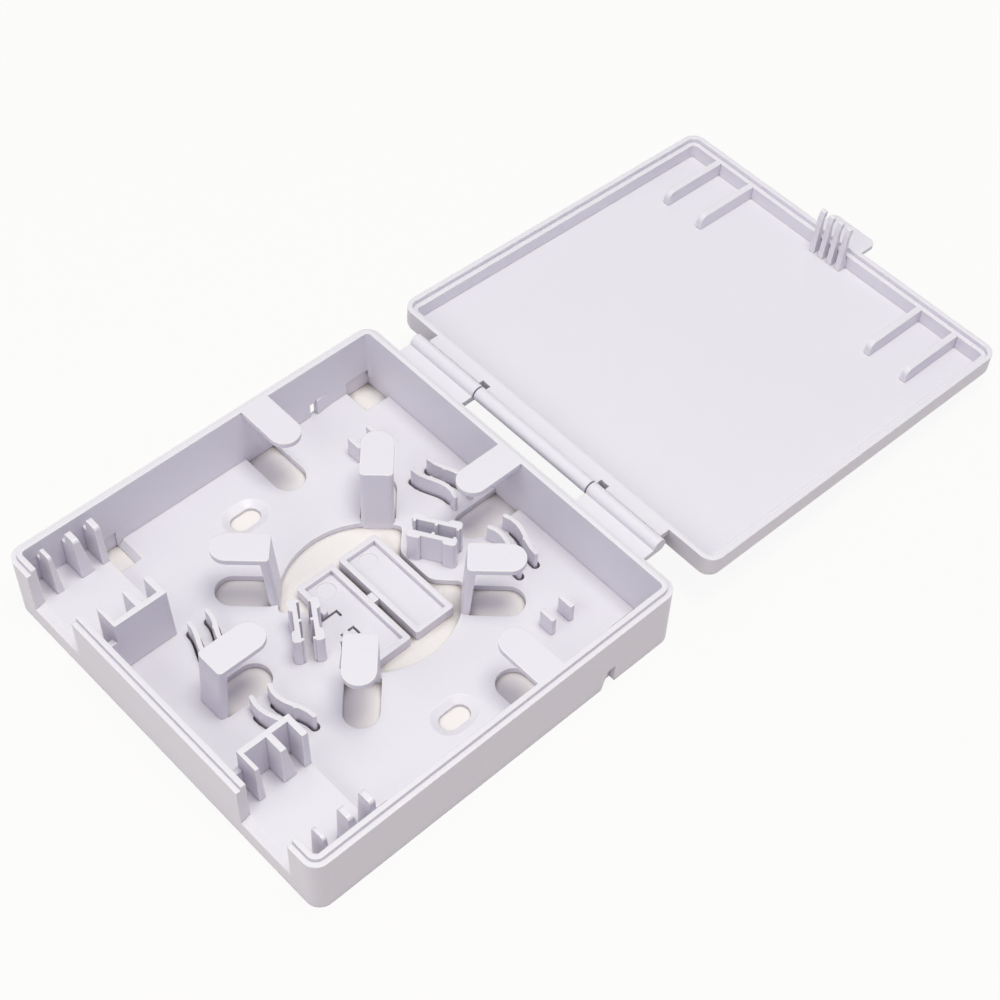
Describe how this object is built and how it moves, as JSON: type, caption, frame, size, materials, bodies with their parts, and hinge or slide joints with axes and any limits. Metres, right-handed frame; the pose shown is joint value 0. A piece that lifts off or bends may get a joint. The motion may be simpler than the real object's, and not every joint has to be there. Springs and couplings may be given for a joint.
{
  "type": "fibre wall outlet box",
  "caption": "Open surface-mount wall box for fibre outlets: square tray with cable spool and two adapter bays, and a hinged lid.",
  "frame": {"origin": "middle of the tray's flat underside, in the plane that rests on the wall", "axes": "+Z points out of the wall, from the tray's underside to its open top; +Y points from the port end to the hinge; +X completes the right-hand frame, along the hinge axis"},
  "size_m": [0.087, 0.1857, 0.0172],
  "materials": {
    "abs_white": "satin"
  },
  "bodies": {
    "base": {"base": "abs_white"},
    "lid": {"lid": "abs_white"}
  },
  "joints": [
    {"name": "lid_hinge", "type": "hinge", "parent": "base", "child": "lid", "pos_m": [0, 0.04735, 0.0145], "axis": [1, 0, 0], "range_deg": [0, 182.7]}
  ]
}
